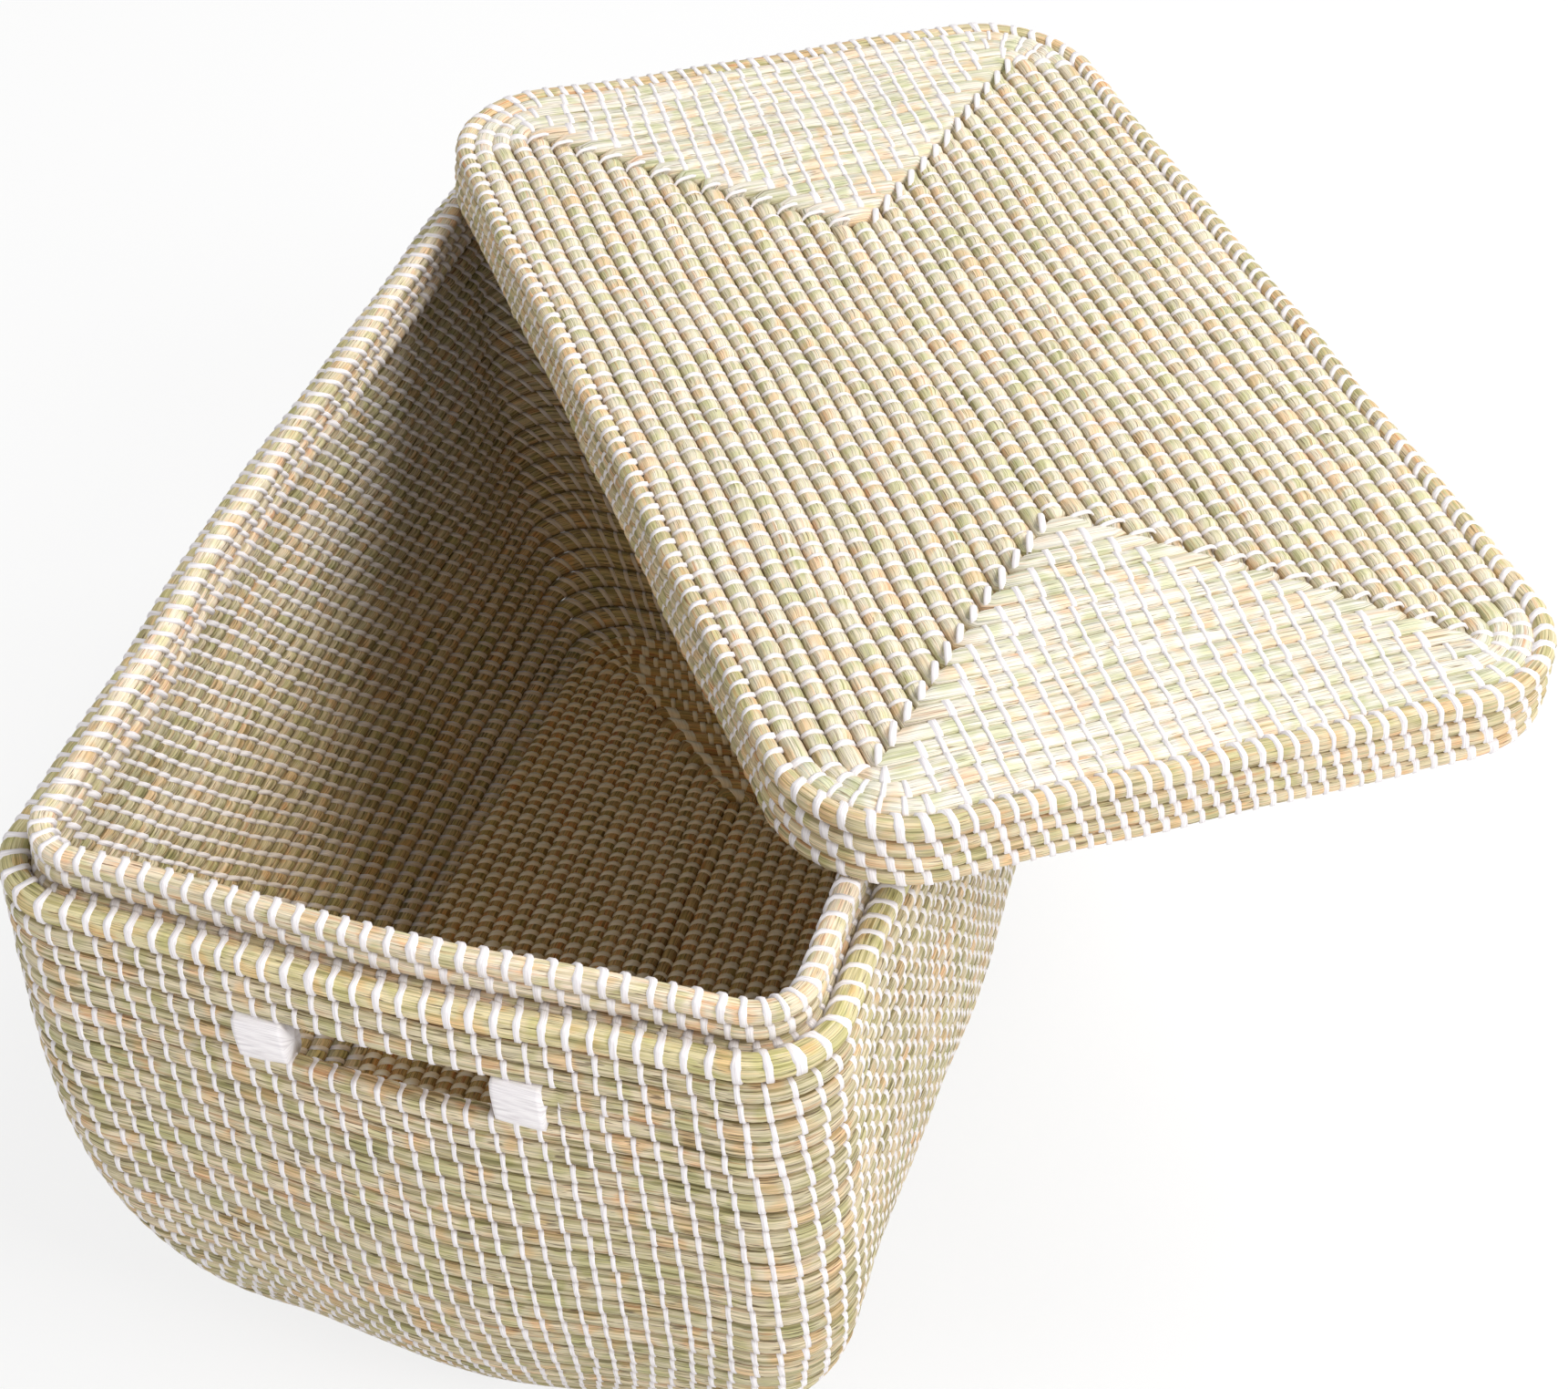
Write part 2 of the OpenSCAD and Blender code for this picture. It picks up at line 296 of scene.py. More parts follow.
def strip_mesh(coil, only=None):
    """The white strip round the bundle: four points across, of which the outer two are sunk in the grass,
    and twelve steps to a turn. It is one long screw where the coil has helix, else a band for each
    stitch or for the stitches numbered in only. Broader makes it wider on its way back."""
    cell = loop_length(coil) / cell_count(coil)
    k = np.arange(cell_count(coil)) if only is None else only
    t = np.repeat(k, ring) + np.tile(np.arange(ring) / ring, len(k))
    on_side = is_on_side(coil, coil["places"][k])
    wide = rng.normal(1.0, 0.11, len(k)) * np.where(on_side, coil["strip"][0], coil["strip"][1])
    ss, tt = np.meshgrid(strip_points, t, indexing="ij")
    vv = coil["face"] + 1.5 * math.pi - 2 * math.pi * (tt % 1.0)
    back = np.maximum(np.cos(vv - coil["face"]), 0) * coil["helix"]
    cc = np.floor(tt) + ss * np.repeat(wide, ring) * (1 + coil["broader"] * back) / 2 / cell
    rise = np.where(np.abs(ss) > 0.9, -strip_sunk, coil["proud"] * (1 + 1.5 * back))
    free = np.maximum(coil["ride"], 0.42 * back)
    p = skin(coil, cc, vv, free, 0.0, rise, np.where(back > 0, 0.85, 0.5)).reshape(-1, 3)
    if coil["helix"]:
        faces, steps = grid_faces(4, len(t), False, True)
    else:
        faces, steps = grid_faces(4, ring, False, True)
        bands = np.arange(len(k))[:, None, None] * ring
        faces = (faces // ring * len(t) + faces % ring)[None] + bands
        steps = np.broadcast_to(steps, (len(k),) + steps.shape) + bands[..., None] * np.array([0, 1])
        faces, steps = faces.reshape(-1, 4), steps.reshape(-1, 4, 2)
    uv = np.stack([strip_points[steps[..., 0]] * strip_w / 2,
                   steps[..., 1] / ring * strip_turn + coil["mark"][1],
                   shade_at(coil, cc, vv).ravel()[faces]], axis=-1)
    if "gaps" in coil:
        place = (cc + winding(coil, vv)).ravel()[faces]
        return kept(p, faces, uv, past_gap(coil, place).min(axis=1) > 0)
    return p, faces, uv


def piece(name, meshes, finish, body, nodes=()):
    """Joins point, face and texture arrays into one mesh object with a finish, and says what it rides
    on. The third texture column becomes the attribute shade."""
    starts = np.cumsum([0] + [len(m[0]) for m in meshes[:-1]])
    points = np.concatenate([m[0] for m in meshes]).astype(np.float32)
    faces = np.concatenate([m[1] + s for m, s in zip(meshes, starts)]).astype(np.int32)
    uv = np.concatenate([m[2].reshape(-1, 3) for m in meshes]).astype(np.float32)
    mesh = bpy.data.meshes.new(name)
    mesh.vertices.add(len(points))
    mesh.vertices.foreach_set("co", points.ravel())
    mesh.loops.add(faces.size)
    mesh.loops.foreach_set("vertex_index", faces.ravel())
    mesh.polygons.add(len(faces))
    mesh.polygons.foreach_set("loop_start", np.arange(0, faces.size, 4, dtype=np.int32))
    mesh.polygons.foreach_set("use_smooth", np.ones(len(faces), dtype=bool))
    mesh.uv_layers.new(name="coil").data.foreach_set("uv", uv[:, :2].ravel())
    shade = mesh.attributes.new("shade", "FLOAT", "CORNER")
    shade.data.foreach_set("value", np.ascontiguousarray(uv[:, 2]))
    mesh.update(calc_edges=True)
    mesh.materials.append(finish)
    made = bpy.data.objects.new(name, mesh)
    bpy.context.scene.collection.objects.link(made)
    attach(made, body)
    if nodes:
        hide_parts(*nodes)


def tint(code):
    """A colour from its six sRGB figures to linear light."""
    parts = [int(code[i:i + 2], 16) / 255 for i in (0, 2, 4)]
    return [p / 12.92 if p <= 0.04045 else ((p + 0.055) / 1.055) ** 2.4 for p in parts] + [1.0]


def grey(g):
    """A neutral factor for a colour."""
    return [g, g, g, 1.0]


class Finish:
    """A material in the making, with the node set-ups that grass and strip share. Patterns follow the
    piece's own coordinates, in metres along and round the coil."""

    def __init__(self, name, roughness):
        self.mat = bpy.data.materials.new(name)
        self.mat.use_nodes = True
        self.nodes, self.links = self.mat.node_tree.nodes, self.mat.node_tree.links
        self.shader = self.nodes["Principled BSDF"]
        self.shader.inputs["Roughness"].default_value = roughness
        self.uv = self.nodes.new("ShaderNodeUVMap")
        self.uv.uv_map = "coil"

    def noise(self, along, around, detail, rough=0.5):
        """Noise with so many lumps to a metre in the two directions."""
        place = self.nodes.new("ShaderNodeMapping")
        place.inputs["Scale"].default_value = (along, around, 1)
        made = self.nodes.new("ShaderNodeTexNoise")
        made.inputs["Scale"].default_value = 1.0
        made.inputs["Detail"].default_value = detail
        made.inputs["Roughness"].default_value = rough
        self.links.new(self.uv.outputs["UV"], place.inputs["Vector"])
        self.links.new(place.outputs["Vector"], made.inputs["Vector"])
        return made.outputs["Fac"]

    def shade(self):
        """The piece's own attribute of that name, which holds its painted shade and painted sheen."""
        made = self.nodes.new("ShaderNodeAttribute")
        made.attribute_name = "shade"
        return made.outputs["Fac"]

    def ramp(self, source, marks):
        """Colours at their places along a value."""
        made = self.nodes.new("ShaderNodeValToRGB")
        bar = made.color_ramp.elements
        while len(bar) < len(marks):
            bar.new(0.5)
        for stop, (at, colour) in zip(bar, marks):
            stop.position = at
            stop.color = colour
        self.links.new(source, made.inputs["Fac"])
        return made.outputs["Color"]

    def mix(self, kind, factor, first, second):
        """Two colours mixed; each of the three may be a value or a socket."""
        made = self.nodes.new("ShaderNodeMix")
        made.data_type = "RGBA"
        made.blend_type = kind
        for socket, value in ((0, factor), (6, first), (7, second)):
            if isinstance(value, (float, list)):
                made.inputs[socket].default_value = value
            else:
                self.links.new(value, made.inputs[socket])
        return made.outputs[2]

    def share(self, source, zero, one):
        """A value turned into its share of the way between two others, from 0 to 1."""
        made = self.nodes.new("ShaderNodeMapRange")
        made.inputs["From Min"].default_value = zero
        made.inputs["From Max"].default_value = one
        self.links.new(source, made.inputs["Value"])
        return made.outputs["Result"]

    def low_inside_shade(self):
        """How much painted shade a point gets low inside the basket: the share by which the normal looks
        back to the middle, times the share of the way down to the floor."""
        place = self.nodes.new("ShaderNodeTexCoord")
        flat = self.nodes.new("ShaderNodeVectorMath")
        flat.operation = "MULTIPLY"
        flat.inputs[1].default_value = (1, 1, 0)
        dot = self.nodes.new("ShaderNodeVectorMath")
        dot.operation = "DOT_PRODUCT"
        split = self.nodes.new("ShaderNodeSeparateXYZ")
        both = self.nodes.new("ShaderNodeMath")
        both.operation = "MULTIPLY"
        self.links.new(place.outputs["Object"], flat.inputs[0])
        self.links.new(flat.outputs["Vector"], dot.inputs[0])
        self.links.new(place.outputs["Normal"], dot.inputs[1])
        self.links.new(place.outputs["Object"], split.inputs["Vector"])
        outward, inward, high, low = 0.02, -0.08, 0.17, 0.04
        self.links.new(self.share(dot.outputs["Value"], outward, inward), both.inputs[0])
        self.links.new(self.share(split.outputs["Z"], high, low), both.inputs[1])
        return both.outputs["Value"]

    def done(self, colour, height, strength, distance):
        """The material with its colour and its bump."""
        bump = self.nodes.new("ShaderNodeBump")
        bump.inputs["Strength"].default_value = strength
        bump.inputs["Distance"].default_value = distance
        self.links.new(height, bump.inputs["Height"])
        self.links.new(colour, self.shader.inputs["Base Color"])
        self.links.new(bump.outputs["Normal"], self.shader.inputs["Normal"])
        return self.mat


def grass_finish(name, stops, dark, dark_from, tone_low, tone_high):
    """Dry grass. Noise drawn out along the coil gives wide streaks of green and tan, single blades and
    short dark flecks; slower noise changes the tone from one stretch to the next and makes green and
    rusty patches. Painted shade darkens the seams and, browner, the basket's low inside; a painted sheen
    makes the ends of marked coils paler."""
    grass = Finish(name, 0.55)
    grass.shader.inputs["Specular IOR Level"].default_value = 0.35
    streaks = grass.noise(20, 520, 2)
    blades = grass.noise(45, 1900, 2, 0.6)
    flecks = grass.noise(75, 1100, 1)
    tone = grass.noise(5.5, 1.7, 1)
    patches = grass.noise(70, 75, 1)
    greener, rustier = [0.84, 0.88, 0.70, 1], [1.05, 0.87, 0.72, 1]
    # Tints of painted light: a painted sheen, painted shade in the seams and brown painted shade low
    # inside the basket.
    painted_sheen, painted_seam_shade, painted_inside_shade = [0.97, 1.01, 1.12, 1], [0.58, 0.50, 0.40, 1], [0.95, 0.80, 0.52, 1]
    layers = (
        (tone, [(0.34, tone_low), (0.62, tone_high)]),
        (patches, [(0.36, greener), (0.47, grey(1.0)), (0.54, grey(1.0)), (0.66, rustier)]),
        (blades, [(0.3, grey(0.50)), (0.5, grey(0.97)), (0.7, grey(1.14))]),
        (grass.shade(), [(0.0, painted_sheen), (open_shade, grey(1.0)), (0.95, painted_seam_shade)]),
        (grass.low_inside_shade(), [(0.0, grey(1.0)), (1.0, painted_inside_shade)]))
    colour = grass.ramp(streaks, [(at, tint(code)) for at, code in stops])
    for source, marks in layers:
        colour = grass.mix("MULTIPLY", 1.0, colour, grass.ramp(source, marks))
    cover = grass.ramp(flecks, [(dark_from, grey(0.0)), (dark_from + 0.05, grey(0.75))])
    colour = grass.mix("MIX", cover, colour, tint(dark))
    return grass.done(colour, grass.mix("MIX", 0.4, blades, streaks), 0.9, 0.0010)


def depth(z):
    """How far down the wall a height is, from 0 at the shoulder to 1 at the floor."""
    return 1 - z / shoulder_h


def wall_slope(z):
    """How far the wall draws in for each metre down: the slope of its curve."""
    return curl * foot_inset * depth(z) ** (curl - 1) / shoulder_h


def drift_at(z):
    """Where the wall's middle is at a height; it moves in a straight line from the floor up."""
    share = max(z - floor_z, 0) / (shoulder_h - floor_z)
    return drift_x * share, drift_y * share


# How far the stitches of all courses sway together, in cells, by their number.
sway = np.convolve(rng.normal(0, 0.08, 400), np.ones(3) / 3, mode="same")


def evenly(coil, cells, shift):
    """Stitch places with the same number of cells on each side, end and corner of every course, so that
    the stitches stand over each other; shift moves them along by a share of a cell. They sway together
    from course to course, and each one wanders a little by itself."""
    side, end, corner = cells
    arc = math.pi / 2 * coil["r"]
    lengths = [coil["b"] - coil["r"], arc, 2 * (coil["a"] - coil["r"]), arc]
    counts = [side / 2, corner, end, corner]
    counts = np.cumsum([0] + counts + [side] + counts[1:] + [side / 2])
    marks = np.cumsum([0] + lengths + [2 * lengths[0]] + lengths[1:] + [lengths[0]])
    total = int(counts[-1])
    k = np.arange(total) + shift % 1.0 + sway[:total] + rng.normal(0, 0.04, total)
    turns = np.floor(k / total)
    places = np.interp(k - turns * total, counts, marks) + turns * marks[-1]
    return np.append(places, places[0] + marks[-1])


def make_coil(a, b, r, z, w, h, **other):
    """The facts of one coil, in metres: half its width and length, its corner radius, the height of its
    centre line and its section, with what most coils share."""
    # Coils marked for painted sheen get a painted highlight on their ends; most coils are not marked.
    coil = dict(a=a, b=b, r=r, z=z, w=w, h=h, bow=(0.0, 0.0), slope=(0.0, 0.0, 0.0), turn=0.0,
                middle=(0.0, 0.0), helix=False, face=math.pi, slant=0.0, flat=0.0, nip=1.0, sink=0.45,
                domed=0.0, round_inside=0.0, mitred=False, ride=0.03, broader=0.0, open_top=False,
                painted_sheen=False, rings=(0.0, 0.13, 0.32, 0.68, 0.87),
                mark=(rng.uniform(0, 5), rng.uniform(0, 60)))
    coil.update(other)
    return coil


def sewn(coil, places):
    """The coil with its stitch places, and how plump each cell between two of them is."""
    coil["places"] = places
    coil["plump"] = rng.normal(0, 1, len(places) - 1).clip(-2, 2)
    return coil


mids = (np.arange(wall_courses) + 0.5) * wall_top / wall_courses
shares = 1 / np.hypot(1, wall_slope(mids))
seams = np.concatenate([[0], np.cumsum(shares)]) * wall_top / shares.sum()
slot_mid = (seams[slot_rows[0] - 1] + seams[slot_rows[1]]) / 2
lean = (drift_x / (shoulder_h - floor_z), drift_y / (shoulder_h - floor_z))
wall_coils = []
for i in range(1, wall_courses + 1):
    z = (seams[i - 1] + seams[i]) / 2
    share = z / shoulder_h
    inset = wall_bundle / 2 + foot_inset * depth(z) ** curl
    coil = make_coil(
        basket_a - inset, basket_b - inset, foot_r + (top_r - foot_r) * share, z,
        wall_bundle, (seams[i] - seams[i - 1]) * course_lap,
        bow=(side_bow, foot_bow + (shoulder_bow - foot_bow) * share), slope=(wall_slope(z), *lean),
        middle=drift_at(slot_mid if i in slot_rows else z), helix=True, slant=0.17, pinch=(0.36, 0.30),
        flat=0.72, square=0.7, proud=0.0004, strip=(0.0030, 0.0029), broader=0.25, round_inside=1.0)
    wall_coils.append(sewn(coil, evenly(coil, wall_cells, -row_shift * i)))

wall_finish = grass_finish(
    "wall_grass",
    [(0.30, "8C845E"), (0.41, "BEB28E"), (0.50, "DCD0B4"), (0.58, "E6D8BE"), (0.70, "C6A684")],
    "56432A", 0.62, [0.84, 0.86, 0.76, 1], [1.05, 1.02, 0.98, 1])
for i, coil in enumerate(wall_coils, start=1):
    cut = coil
    if i in slot_rows:
        cell = 2 * (coil["a"] - coil["r"]) / wall_cells[1]
        # A loop starts in the middle of a long side, so its two ends are a quarter and three quarters on.
        far_and_near = loop_length(coil) * np.array([0.25, 0.75])
        middles = np.interp(far_and_near, coil["places"], np.arange(cell_count(coil) + 1))
        coil["sewn_gaps"] = (middles, (slot_reach + slot_clear) / cell)
        cut = dict(coil, gaps=(middles, (slot_half + slot_hidden) / cell))
    piece(f"wall_bundle_{i:02d}", [bundle_mesh(cut)], wall_finish, "basket",
          [f"wall_course_{i:02d}"])

# ---- Shoulder and rim ---------------------------------------------------------------------
# A thick straw-green coil finishes the wall, and three more stand on its inner side as the rim
# that the lid drops over.
shoulder_r = 0.040
rim_cells = (53, 29, 5)
rim_stagger = 0.25
rim_finish = grass_finish(
    "rim_grass",
    [(0.28, "C2B694"), (0.42, "E4D8BC"), (0.52, "F6ECD8"), (0.62, "F4DEC6"), (0.74, "E0B896")],
    "6B4A30", 0.66, [0.88, 0.86, 0.78, 1], [1.06, 1.02, 0.98, 1])
shoulder_finish = grass_finish(
    "shoulder_grass",
    [(0.28, "A09868"), (0.40, "CCBF90"), (0.52, "E6DAB2"), (0.62, "EADBB4"), (0.74, "D6BA90")],
    "5E4B30", 0.66, [0.88, 0.90, 0.80, 1], [1.05, 1.03, 0.98, 1])
rim_coils = []
for name, inset, z, w, h in (("shoulder_coil", 0.0058, 0.2400, 0.0116, 0.0108),
                             ("rim_coil_1", 0.0176, 0.2380, 0.0106, 0.0100),
                             ("rim_coil_2", 0.0181, 0.24825, 0.0096, 0.0082),
                             ("rim_coil_3", 0.0181, 0.25625, 0.0100, 0.0084)):
    coil = make_coil(basket_a - inset, basket_b - inset, shoulder_r - inset, z, w, h,
                     bow=(side_bow, shoulder_bow), middle=(drift_x, drift_y), helix=True, slant=0.12,
                     pinch=(0.24, 0.18), flat=0.3, square=0.8, proud=0.0006, strip=(0.0034, 0.0040),
                     open_top=name in ("shoulder_coil", "rim_coil_3"))
    above = len(rim_coils)
    shift = -row_shift * (wall_courses + 1 + above) - rim_stagger * above
    rim_coils.append(sewn(coil, evenly(coil, rim_cells, shift)))
    finish = shoulder_finish if name == "shoulder_coil" else rim_finish
    piece(name.replace("coil", "bundle"), [bundle_mesh(coil)], finish, "basket", [name])

# ---- Sewing of the wall and rim -----------------------------------------------------------
# Flat white strip with a slight sheen. It lies in the pinches of the bundles, and is joined in
# groups of neighbouring courses.


def strip_finish(name, low, high):
    """Strip: a pale surface with fine grey lines along it, slightly uneven in tone, with painted shade
    where it goes into a seam and brown painted shade low inside the basket."""
    strip = Finish(name, 0.42)
    lines = strip.noise(2600, 90, 2)
    colour = strip.ramp(lines, [(0.30, tint(low)), (0.58, tint(high))])
    # Painted shade where the strip goes into a seam, from the shade attribute.
    sunk = strip.share(strip.shade(), open_shade, 1.0)
    colour = strip.mix("MULTIPLY", sunk, colour, [0.56, 0.50, 0.44, 1])
    # Brown painted shade low inside the basket.
    colour = strip.mix("MULTIPLY", strip.low_inside_shade(), colour, [0.92, 0.78, 0.56, 1])
    return strip.done(colour, lines, 0.35, 0.0004)


white_strip = strip_finish("sewing_strip", "D9D3D6", "F6F2F3")
for part, (first, last) in enumerate(((1, 9), (10, 18), (19, 27)), start=1):
    bands = []
    for coil in wall_coils[first - 1:last]:
        bands.append(strip_mesh(dict(coil, gaps=coil["sewn_gaps"]) if "sewn_gaps" in coil else coil))
    piece(f"wall_sewing_{part}", bands, white_strip, "basket")
piece("rim_sewing", [strip_mesh(coil) for coil in rim_coils], white_strip, "basket")

# ---- Hand slots ---------------------------------------------------------------------------
# Two courses are left out over the width of a hand in each end. White strip is wound closely
# round the cut ends, over both courses.
wrap_x = (slot_half + slot_reach) / 2
wrap_half_w, wrap_thick, wrap_tall = 0.0116, 0.0134, 0.0222
wrap_drop, wrap_lean = 0.0010, 0.0012
wrap_square = 0.45


def wrap_mesh(middle, way):
    """A closed block with a rounded square section whose ends draw in, wound with ridges that run
    lengthways. It leans a little, and way is the end of the basket that it faces, -1 or 1."""
    rows, cols = 15, 48
    t = np.linspace(0, 1, rows)
    v = np.linspace(0, 2 * math.pi, cols, endpoint=False)
    tt, vv = np.meshgrid(t, v, indexing="ij")
    draw_in = (1 - np.abs(2 * tt - 1) ** 8) ** 0.5 * 0.1 + 0.9
    draw_in = np.where((tt < 1e-6) | (tt > 1 - 1e-6), 0.02, draw_in)
    lumps = 1 + 0.012 * np.sin(9 * vv + 5 * tt) + 0.008 * np.sin(23 * vv)
    out = squarer(np.cos(vv), wrap_square) * wrap_thick / 2 * draw_in * lumps
    up = squarer(np.sin(vv), wrap_square) * wrap_tall / 2 * draw_in * lumps
    x = middle[0] + wrap_half_w * (2 * tt - 1) + wrap_lean * up / wrap_tall * 2 * way
    p = hand_made(np.stack([x, middle[1] + out * way, middle[2] + up], axis=-1))
    faces, steps = grid_faces(rows, cols, False, True)
    if way > 0:
        faces, steps = faces[:, ::-1], steps[:, ::-1]
    shade = np.full(faces.shape, open_shade)
    uv = np.stack([steps[..., 1] / cols * 0.055, steps[..., 0] / (rows - 1) * 0.02, shade], axis=-1)
    return p.reshape(-1, 3), faces, uv


slot_coil = wall_coils[slot_rows[1] - 1]
bulge = math.cos(math.pi / 2 * wrap_x / (slot_coil["a"] - slot_coil["r"])) ** 2
for side, way in (("near", -1), ("far", 1)):
    y = slot_coil["middle"][1] + way * (slot_coil["b"] + slot_coil["bow"][1] * bulge)
    wraps = [wrap_mesh((slot_coil["middle"][0] + hand * wrap_x, y, slot_mid - wrap_drop), way)
             for hand in (-1, 1)]
    piece(f"slot_wraps_{side}", wraps, white_strip, "basket", [f"handle_wraps_{side}"])

# ---- Floor --------------------------------------------------------------------------------
# A flat coil of browner grass: four rounded loops, then loops that turn sharply on the mitre
# lines, round a straight bar in the middle. Its strip is warmer in tone than the wall's.
foot = wall_bundle + foot_inset * depth(seams[1] / 2) ** curl
floor_a, floor_b = basket_a - foot, basket_b - foot
floor_h = 0.0092
floor_loops = 15
rounded_floor_loops = 4
floor_pitch = floor_a / (floor_loops + 0.5)
floor_cell = 0.0074
sewing_pitch = 0.0094
bar_strip_w = 0.0028
row_step = 0.1
corner_eye, sharp_r = 0.0052, 0.0046
floor_finish = grass_finish(
    "floor_grass",
    [(0.30, "9A8654"), (0.42, "C8AE7A"), (0.52, "DEC492"), (0.62, "D2A874"), (0.74, "BE8656")],
    "553D22", 0.66, [0.84, 0.82, 0.74, 1], [1.04, 1.0, 0.95, 1])


def by_pitch(coil, shift, pitch):
    """Stitch places the pitch apart, counted from the middle of each side and end, so that they stand
    in line from loop to loop; a tight corner gets one stitch, on the mitre."""
    arc = math.pi / 2 * coil["r"]
    side, end = coil["b"] - coil["r"], coil["a"] - coil["r"]
    turn = max(1, round(arc / pitch))
    bends = (np.arange(turn) + 0.5) / turn * arc
    into, out_of = (0.1 * arc, 0.9 * arc) if turn == 1 else (bends, bends)

    def line(reach):
        j = np.arange(-int(reach / pitch) - 1, int(reach / pitch) + 2) + shift
        j = j * pitch
        return j[np.abs(j) < max(reach - 0.5 * pitch, 0.001)]

    on_side, on_end = line(side), line(end)
    marks = np.cumsum([0, side, arc, 2 * end, arc, side])
    half = np.concatenate([on_side[on_side >= 0], np.atleast_1d(marks[1] + into), marks[2] + end + on_end,
                           np.atleast_1d(marks[3] + out_of), marks[5] + on_side[on_side < 0]])
    places = np.concatenate([half, half + marks[5]])
    places = places + rng.normal(0, 0.0004, len(places))
    return np.append(places, places[0] + 2 * marks[5])


def flat_coil(k, rounded, a, b, pitch, z, h, cell, spread, lap, **other):
    """The loop number k of a flat coil that is 2a by 2b over all, from the outside in. The first ones are
    rounded, with radii that shrink by the pitch times spread down to corner_eye, and the others turn
    sharply. A bundle is lap times as wide as the pitch, and its stitches are a cell apart."""
    inset = (k - 0.5) * pitch
    r = max((rounded - k + 0.5) * pitch * spread + corner_eye, sharp_r)
    coil = make_coil(a - inset, b - inset, r, z, pitch * lap, h, mitred=k > rounded, **other)
    return sewn(coil, by_pitch(coil, row_step * k, cell))


def bar_mesh(middle, length, w, h, turn, mark, sewing=False):
    """The straight bar in the middle of a flat coil: rings of points along it, pinched once a cell,
    closed at both ends. With sewing, the bands round it instead. mark moves its pattern."""
    cells = int(round(length / sewing_pitch))
    rings_a_cell = 5
    v = np.linspace(0, 2 * math.pi, ring, endpoint=False)
    if sewing:
        kk, ss, vv = np.meshgrid(np.arange(1, cells), -strip_points, v, indexing="ij")
        t = kk / cells * length + ss * bar_strip_w / 2
        free, rise, taper = 0.35, np.where(np.abs(ss) > 0.9, -strip_sunk, 0.0005), 1.0
    else:
        rows = cells * rings_a_cell + 1
        kk, vv = np.meshgrid(np.linspace(0, cells, rows), v, indexing="ij")
        t = kk / cells * length
        free, rise = np.abs(np.sin(math.pi * kk)), 0.0
        taper = drawn_in(np.minimum(kk, cells - kk), 0.4)
    loss = 0.42 * (1 - free ** 0.9)
    x = np.cos(vv) * ((1 - 0.3 * loss) * w / 2 + rise) * taper
    y = t - length / 2
    up = np.sin(vv) * ((1 - loss) * h / 2 + rise) * taper
    x, y = rotated(x, y, turn)
    p = hand_made(np.stack([middle[0] + x, middle[1] + y, middle[2] + up], axis=-1)).reshape(-1, 3)
    if not sewing:
        faces, steps = grid_faces(rows, ring, False, True)
        # Painted shade on the bar's sides, where it lies against the loops.
        shade = open_shade + (1 - open_shade) * np.abs(np.cos(steps[..., 1] * 2 * math.pi / ring)) ** 6
        along = steps[..., 0] * sewing_pitch / rings_a_cell + mark
        return p, faces, np.stack([along, steps[..., 1] / ring * 0.03 + mark, shade], axis=-1)
    faces, steps = grid_faces(4, ring, False, True)
    k = np.arange(cells - 1)
    faces = (faces[None] + (k * 4 * ring)[:, None, None]).reshape(-1, 4)
    shade = np.full(steps.shape[:-1], open_shade)
    wide = -strip_points[steps[..., 0]] * strip_w / 2
    uv = np.stack([wide, steps[..., 1] / ring * strip_turn, shade], axis=-1)
    shifts = (k * 0.0171 + mark)[:, None, None, None] * np.array([1, 1, 0])
    return p, faces, (uv[None] + shifts).reshape(-1, 4, 3)


floor_facts = dict(pinch=(0.36, 0.32), square=0.8, proud=0.0003, nip=0.1, sink=1.0, domed=0.4, helix=True,
                   face=math.pi / 2, slant=0.65, strip=(0.0029, 0.0027), broader=0.6,
                   rings=(0.0, 0.2, 0.5, 0.8))
floor_coils = []
for k in range(1, floor_loops + 1):
    fade = 1 - (k - 1) / floor_loops
    floor_coils.append(flat_coil(k, rounded_floor_loops, floor_a, floor_b, floor_pitch, floor_z, floor_h,
                                 floor_cell, 0.83, 1.14, bow=(side_bow * fade, foot_bow * fade),
                                 **floor_facts))
floor_bar = ((0, 0, floor_z), 2 * (floor_b - floor_loops * floor_pitch),
             2 * (floor_a - floor_loops * floor_pitch), floor_h, 0.0)
for group in range(4):
    meshes = [bundle_mesh(coil) for coil in floor_coils[4 * group:4 * group + 4]]
    if group == 3:
        meshes.append(bar_mesh(*floor_bar, 3.3))
    piece(f"floor_bundles_{group + 1}", meshes, floor_finish, "basket",
          [f"floor_loops_{group + 1}"])
brown_strip = strip_finish("floor_strip", "F0E4CC", "FFF6E2")
bands = [strip_mesh(coil) for coil in floor_coils]
bands.append(bar_mesh(*floor_bar, 7.1, sewing=True))
piece("floor_sewing", bands, brown_strip, "basket")

# ---- Lid's top ----------------------------------------------------------------------------
# A flat coil of pale grass like the floor, with three rounded loops, sewn with separate bands.
# It lies askew across the rim. White stitches sit in its four mitre lines.
lid_turn = math.radians(35)
lid_middle = (drift_x + 0.121, drift_y + 0.111)
lid_a, lid_b = 0.1695, 0.2865
lid_base, lid_h, lid_t = 0.2603, 0.0317, 0.0095
lid_top_z = lid_base + lid_h - lid_t / 2
lid_loops = 16
rounded_lid_loops = 3
lid_edge = 0.010
lid_pitch = (lid_a - lid_edge) / (lid_loops + 0.5)
